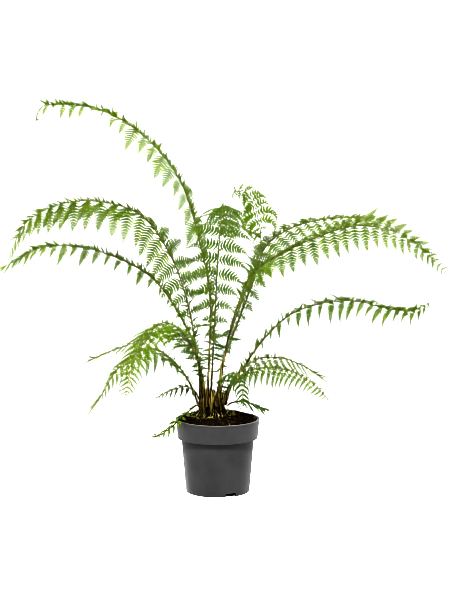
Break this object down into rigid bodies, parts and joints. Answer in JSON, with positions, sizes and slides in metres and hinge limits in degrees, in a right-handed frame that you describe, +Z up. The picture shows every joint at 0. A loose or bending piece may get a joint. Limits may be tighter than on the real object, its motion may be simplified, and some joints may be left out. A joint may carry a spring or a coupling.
{
  "type": "potted soft tree fern",
  "caption": "Soft tree fern in a round nursery pot: arching feathery fronds rise from a fibrous crown in the soil and spread wide over a dark tapering pot with a deep rim band.",
  "frame": {"origin": "centre of the underside of the pot, on the surface that it stands on", "axes": "+Z up along the pot's axis, +X along the widest spread of the fronds, -Y toward the viewer of the picture"},
  "size_m": [1.0189, 0.5939, 0.8801],
  "materials": {
    "pot_plastic": "satin dark grey injection-moulded plastic",
    "soil": "crumbly dark peat and bark",
    "crown_fibre": "matted brown fibre",
    "frond_green": "soft semi-matt leaf",
    "frond_lime": "soft semi-matt young leaf"
  },
  "bodies": {
    "root": {"pot": "pot_plastic", "soil": "soil", "crown": "crown_fibre", "frond_left_upper": "frond_green", "frond_right_upper": "frond_green", "frond_high_left": "frond_lime", "frond_back": "frond_green", "frond_right_back": "frond_green", "frond_left_middle": "frond_green", "frond_curled": "frond_lime", "frond_right_middle": "frond_green", "frond_front_left": "frond_green", "frond_left_front": "frond_green", "frond_left_low": "frond_green", "frond_right_low_back": "frond_green", "frond_right_low_front": "frond_green", "frond_short_front": "frond_green", "frond_rim_left": "frond_lime", "frond_short_left": "frond_green", "frond_rim_right": "frond_green"}
  },
  "joints": []
}
